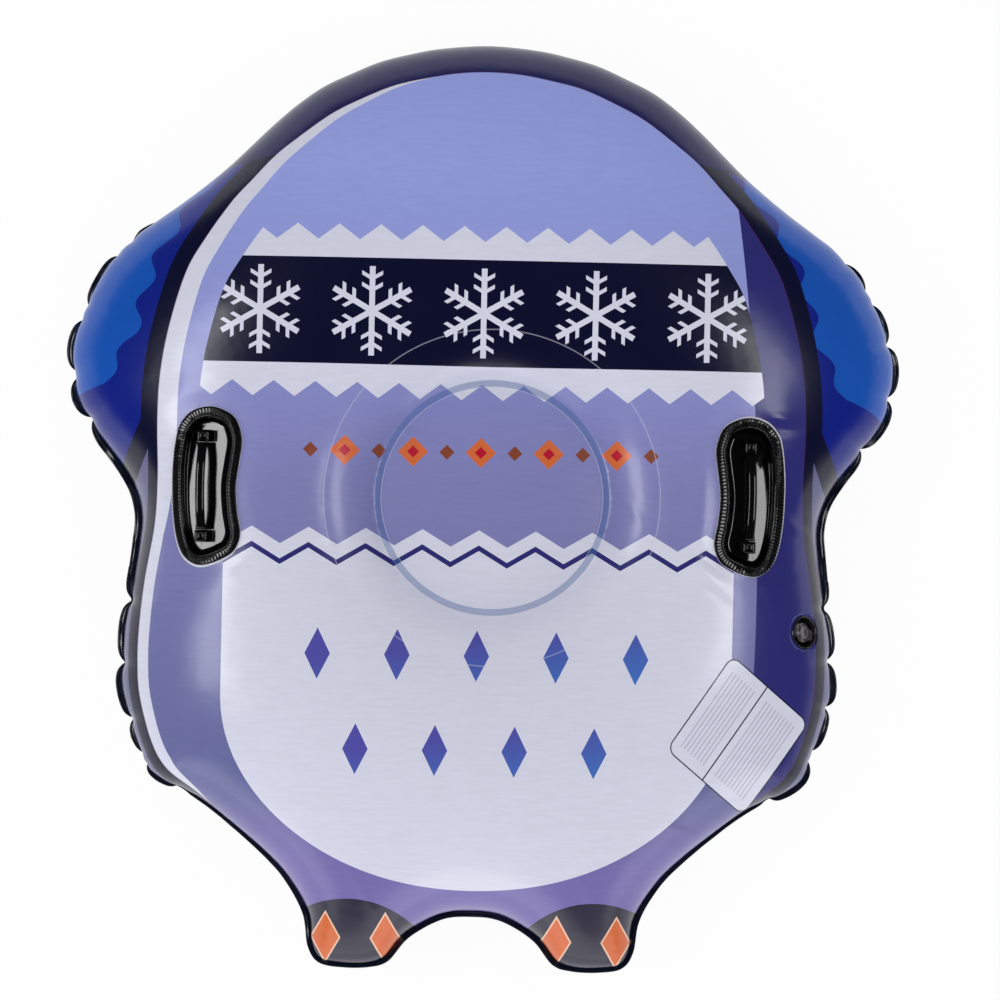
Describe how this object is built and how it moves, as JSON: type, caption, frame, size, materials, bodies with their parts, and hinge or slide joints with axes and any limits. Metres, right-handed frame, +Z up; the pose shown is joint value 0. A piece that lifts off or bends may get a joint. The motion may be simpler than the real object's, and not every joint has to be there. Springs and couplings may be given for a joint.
{
  "type": "inflatable sled",
  "caption": "Inflatable snow sled with a rounded head, side lobes, a dished centre ring, moulded grab handles and a recessed valve with a tethered plug.",
  "frame": {"origin": "centre of the outline on the ground, under the inflated sled", "axes": "+Y towards the rounded head, +Z up from the ground, +X towards the side with the valve"},
  "size_m": [0.888, 0.99, 0.2104],
  "materials": {
    "top_sheet": "printed PVC film",
    "bottom_sheet": "plain PVC film",
    "perimeter_seam": "glossy welded PVC",
    "baffle_web": "plain PVC film",
    "baffle_ring_top": "welded PVC",
    "baffle_ring_bottom": "welded PVC",
    "baffle_patch_top": "plain PVC film",
    "baffle_patch_bottom": "plain PVC film",
    "handle_left_backing": "plain PVC film",
    "handle_left_base": "glossy moulded PVC",
    "handle_left_grip": "glossy moulded PVC",
    "handle_left_lug_upper": "glossy moulded PVC",
    "handle_left_lug_lower": "glossy moulded PVC",
    "handle_right_backing": "plain PVC film",
    "handle_right_base": "glossy moulded PVC",
    "handle_right_grip": "glossy moulded PVC",
    "handle_right_lug_upper": "glossy moulded PVC",
    "handle_right_lug_lower": "glossy moulded PVC",
    "valve_base": "smoke soft PVC",
    "valve_stem": "smoke soft PVC",
    "valve_flap": "smoke soft PVC",
    "valve_plug": "smoke soft PVC",
    "valve_strap": "smoke soft PVC"
  },
  "bodies": {
    "sled": {"top_sheet": "top_sheet", "bottom_sheet": "bottom_sheet", "perimeter_seam": "perimeter_seam", "baffle_web": "baffle_web", "baffle_ring_top": "baffle_ring_top", "baffle_ring_bottom": "baffle_ring_bottom", "baffle_patch_top": "baffle_patch_top", "baffle_patch_bottom": "baffle_patch_bottom", "handle_left_backing": "handle_left_backing", "handle_left_base": "handle_left_base", "handle_left_grip": "handle_left_grip", "handle_left_lug_upper": "handle_left_lug_upper", "handle_left_lug_lower": "handle_left_lug_lower", "handle_right_backing": "handle_right_backing", "handle_right_base": "handle_right_base", "handle_right_grip": "handle_right_grip", "handle_right_lug_upper": "handle_right_lug_upper", "handle_right_lug_lower": "handle_right_lug_lower", "valve_base": "valve_base"},
    "stem": {"valve_stem": "valve_stem"},
    "flap": {"valve_flap": "valve_flap"},
    "plug": {"valve_plug": "valve_plug", "valve_strap": "valve_strap"}
  },
  "joints": [
    {"name": "stem_pull", "type": "slide", "parent": "sled", "child": "stem", "axis": [0.7436, 0.0877, 0.6629], "range_m": [0, 0.012]},
    {"name": "flap_open", "type": "hinge", "parent": "stem", "child": "flap", "pos_m": [0.31815, -0.12406, 0.12975], "axis": [0.1036, 0.9643, -0.2438], "range_deg": [0, 60], "stiffness_Nm_per_rad": 0.0001, "springref_deg": -20.05},
    {"name": "plug_swing", "type": "hinge", "parent": "stem", "child": "plug", "pos_m": [0.34022, -0.11976, 0.15617], "axis": [-0.1036, -0.9643, 0.2438], "range_deg": [0, 140]}
  ]
}
